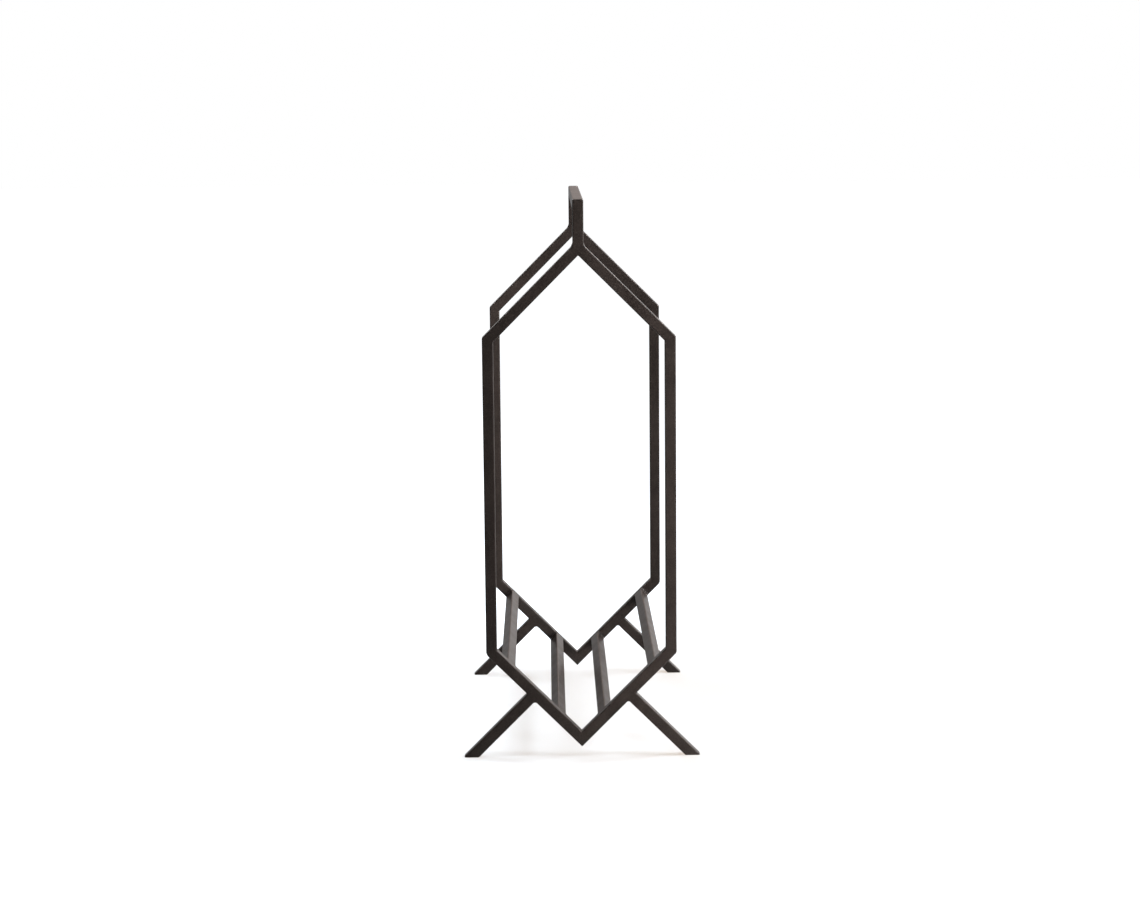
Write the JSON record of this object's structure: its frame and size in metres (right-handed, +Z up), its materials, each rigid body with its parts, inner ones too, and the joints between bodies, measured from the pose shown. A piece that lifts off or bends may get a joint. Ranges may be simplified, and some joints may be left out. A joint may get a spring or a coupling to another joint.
{
  "type": "record storage stand",
  "caption": "Free-standing rack of welded square steel bar: hexagonal end frames on splayed legs, joined by rails and a carrying grip, hold square sleeves standing on one corner.",
  "frame": {"origin": "on the floor, in the middle of the four feet", "axes": "+Z up; Y along the depth, front to back, with the front frame at -Y; X along the width, with left at -X seen from the front"},
  "size_m": [0.2174, 0.34, 0.509],
  "materials": {
    "powder_coat": "satin black powder coat with a fine texture",
    "painted_weld": "satin black powder coat over a weld fillet"
  },
  "bodies": {
    "root": {"front_lower_left_bar": "powder_coat", "front_lower_right_bar": "powder_coat", "front_left_side_bar": "powder_coat", "front_right_side_bar": "powder_coat", "front_upper_left_bar": "powder_coat", "front_upper_right_bar": "powder_coat", "front_left_leg": "powder_coat", "front_right_leg": "powder_coat", "front_handle_post": "powder_coat", "rear_lower_left_bar": "powder_coat", "rear_lower_right_bar": "powder_coat", "rear_left_side_bar": "powder_coat", "rear_right_side_bar": "powder_coat", "rear_upper_left_bar": "powder_coat", "rear_upper_right_bar": "powder_coat", "rear_left_leg": "powder_coat", "rear_right_leg": "powder_coat", "rear_handle_post": "powder_coat", "handle_grip_bar": "powder_coat", "left_lower_rail": "powder_coat", "left_upper_rail": "powder_coat", "right_lower_rail": "powder_coat", "right_upper_rail": "powder_coat", "front_leg_welds": "painted_weld", "rear_leg_welds": "painted_weld", "handle_welds": "painted_weld", "front_rail_welds": "painted_weld", "rear_rail_welds": "painted_weld"}
  },
  "joints": []
}
